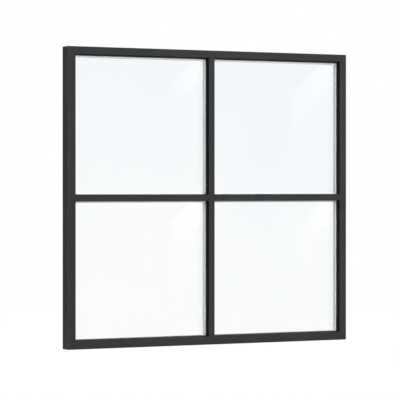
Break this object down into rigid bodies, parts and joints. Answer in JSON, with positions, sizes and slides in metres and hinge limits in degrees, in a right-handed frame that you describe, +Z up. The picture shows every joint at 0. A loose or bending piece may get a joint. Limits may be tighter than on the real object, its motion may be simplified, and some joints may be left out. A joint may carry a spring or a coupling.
{
  "type": "fixed glazing panel",
  "caption": "Fixed window panel with a slim dark metal frame, a mullion and transoms, and sealed double-glazed panes held by beads and gaskets.",
  "frame": {"origin": "middle of the sill's underside, half way through the depth of the frame", "axes": "+X to the right seen from outside, +Y into the building, +Z up"},
  "size_m": [1.065, 0.048, 1],
  "materials": {
    "frame_coating": "matt charcoal powder coating",
    "bead_coating": "matt charcoal powder coating",
    "glass": "clear float glass",
    "spacer": "light grey warm-edge spacer",
    "gasket": "black rubber, matt",
    "setting_block": "plain moulded",
    "edge_seal": "black sealant, matt"
  },
  "bodies": {
    "root": {"frame_head": "frame_coating", "frame_sill": "frame_coating", "frame_left_jamb": "frame_coating", "frame_right_jamb": "frame_coating", "mullion": "frame_coating", "transom_left": "frame_coating", "transom_right": "frame_coating", "top_left_outer_glass": "glass", "top_left_inner_glass": "glass", "top_left_spacer": "spacer", "top_left_front_gasket": "gasket", "top_left_rear_gasket": "gasket", "top_left_head_bead": "bead_coating", "top_left_sill_bead": "bead_coating", "top_left_left_bead": "bead_coating", "top_left_right_bead": "bead_coating", "top_right_outer_glass": "glass", "top_right_inner_glass": "glass", "top_right_spacer": "spacer", "top_right_front_gasket": "gasket", "top_right_rear_gasket": "gasket", "top_right_head_bead": "bead_coating", "top_right_sill_bead": "bead_coating", "top_right_left_bead": "bead_coating", "top_right_right_bead": "bead_coating", "bottom_left_outer_glass": "glass", "bottom_left_inner_glass": "glass", "bottom_left_spacer": "spacer", "bottom_left_front_gasket": "gasket", "bottom_left_rear_gasket": "gasket", "bottom_left_head_bead": "bead_coating", "bottom_left_sill_bead": "bead_coating", "bottom_left_left_bead": "bead_coating", "bottom_left_right_bead": "bead_coating", "bottom_right_outer_glass": "glass", "bottom_right_inner_glass": "glass", "bottom_right_spacer": "spacer", "bottom_right_front_gasket": "gasket", "bottom_right_rear_gasket": "gasket", "bottom_right_head_bead": "bead_coating", "bottom_right_sill_bead": "bead_coating", "bottom_right_left_bead": "bead_coating", "bottom_right_right_bead": "bead_coating", "setting_blocks": "setting_block", "edge_seals": "edge_seal"}
  },
  "joints": []
}
